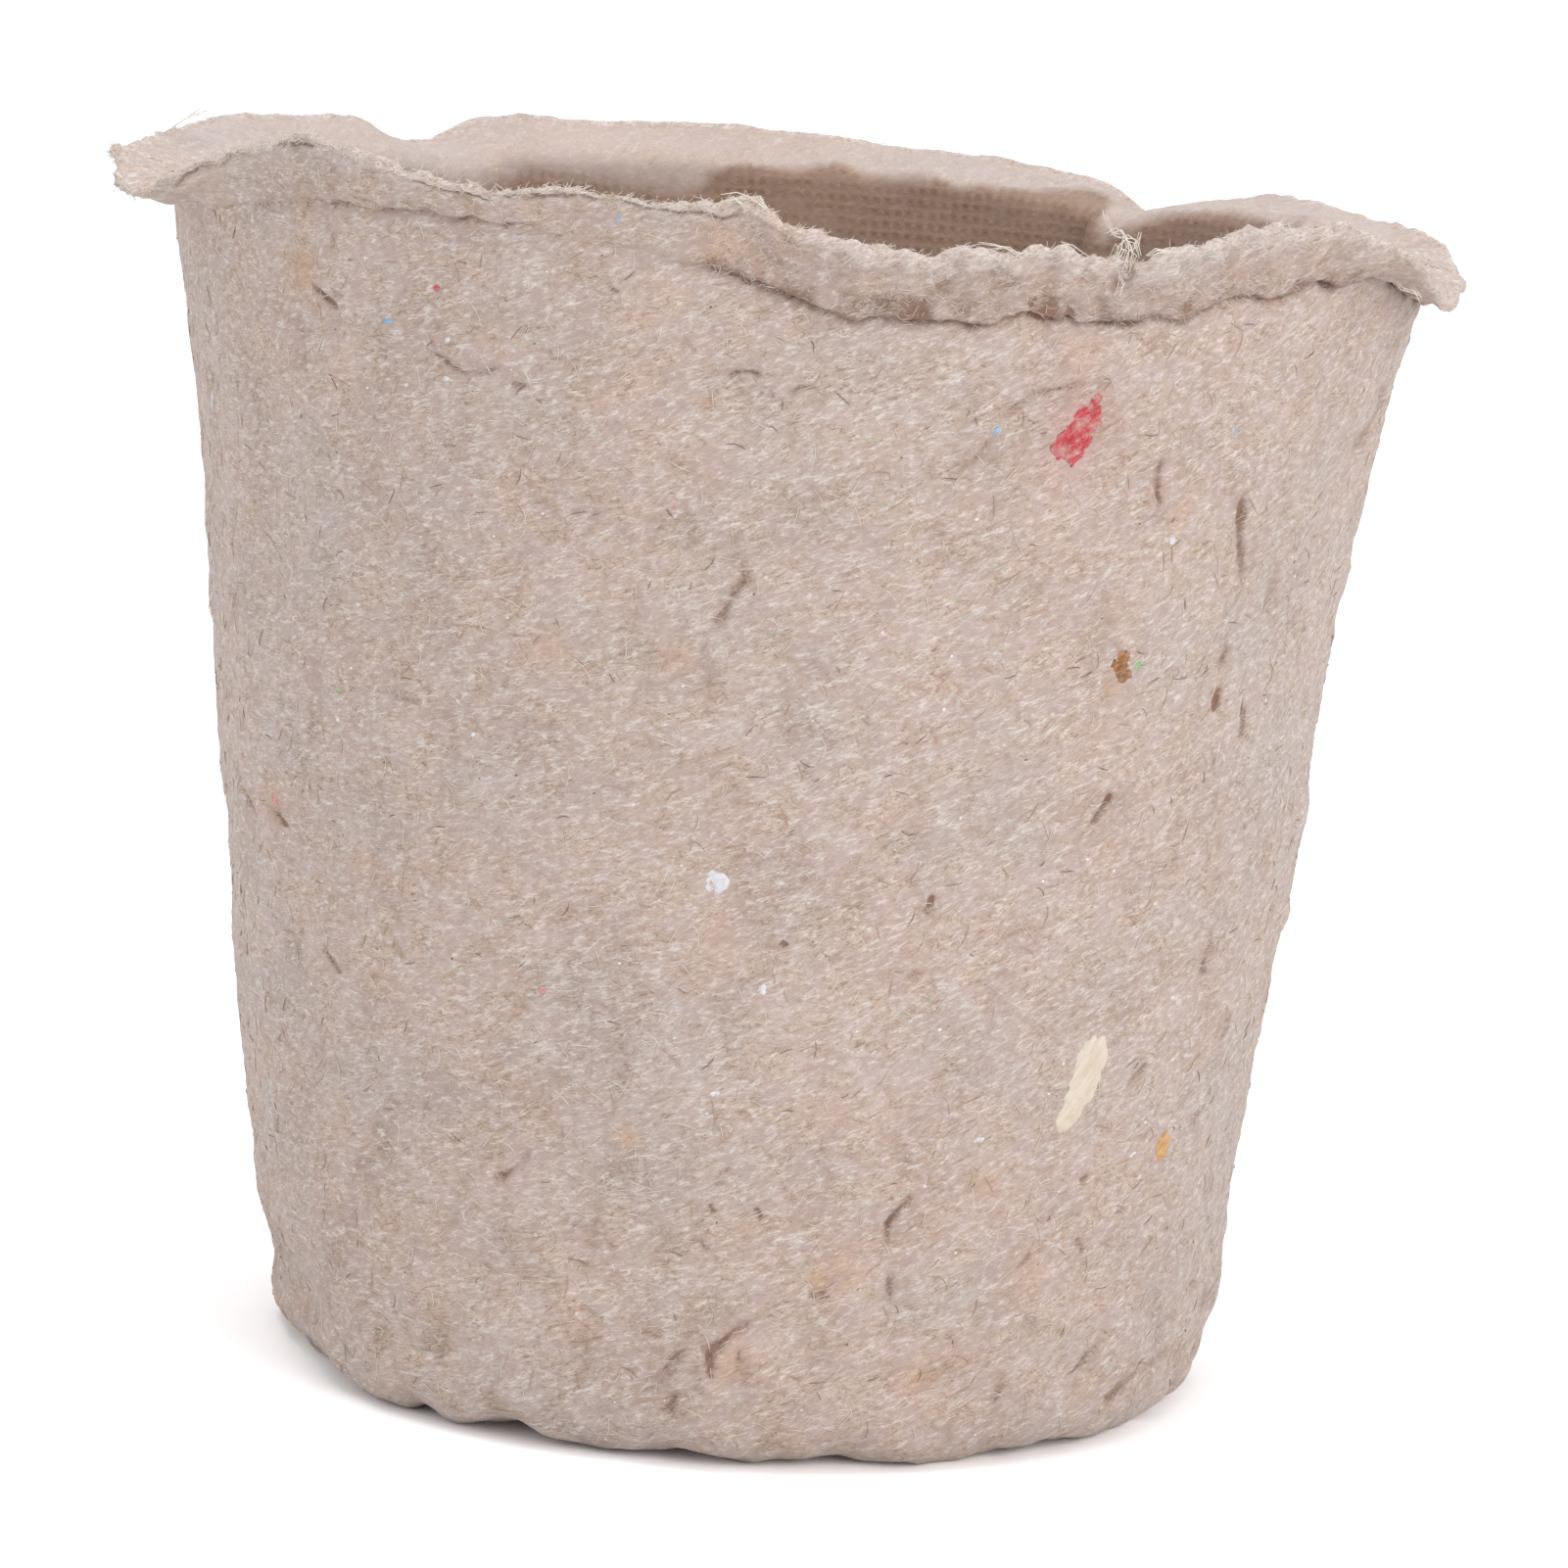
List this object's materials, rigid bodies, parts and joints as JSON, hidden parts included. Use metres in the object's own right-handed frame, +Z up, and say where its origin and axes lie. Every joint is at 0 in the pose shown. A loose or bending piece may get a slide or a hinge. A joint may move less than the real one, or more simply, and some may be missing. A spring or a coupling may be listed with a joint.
{
  "type": "peat pot",
  "caption": "Round tapered plant pot moulded in one piece from peat and paper pulp, with a wavy torn lip and small scraps of paper, bark, wood and husk set in its wall.",
  "frame": {"origin": "centre of the flat bottom, on the plane the pot stands on", "axes": "+Z up along the pot's axis, towards its mouth; -Y is the front, the side with the red paper scrap at its right"},
  "size_m": [0.0861, 0.0847, 0.0804],
  "materials": {
    "moulded_pulp": "matte fibrous moulded peat and paper pulp",
    "red_paper": "matte torn dyed paper",
    "bark": "matte dark bark",
    "pale_wood": "matte bare wood",
    "seed_husk": "satin dry husk",
    "white_paper": "matte white paper",
    "blue_paper": "matte dyed paper",
    "green_paper": "matte dyed paper",
    "pink_paper": "matte dyed paper"
  },
  "bodies": {
    "root": {"pot_shell": "moulded_pulp", "red_paper_scrap": "red_paper", "brown_bark_flake": "bark", "cream_wood_chip": "pale_wood", "amber_seed_husk": "seed_husk", "white_paper_flecks": "white_paper", "blue_paper_flecks": "blue_paper", "green_paper_flecks": "green_paper", "pink_paper_flecks": "pink_paper"}
  },
  "joints": []
}
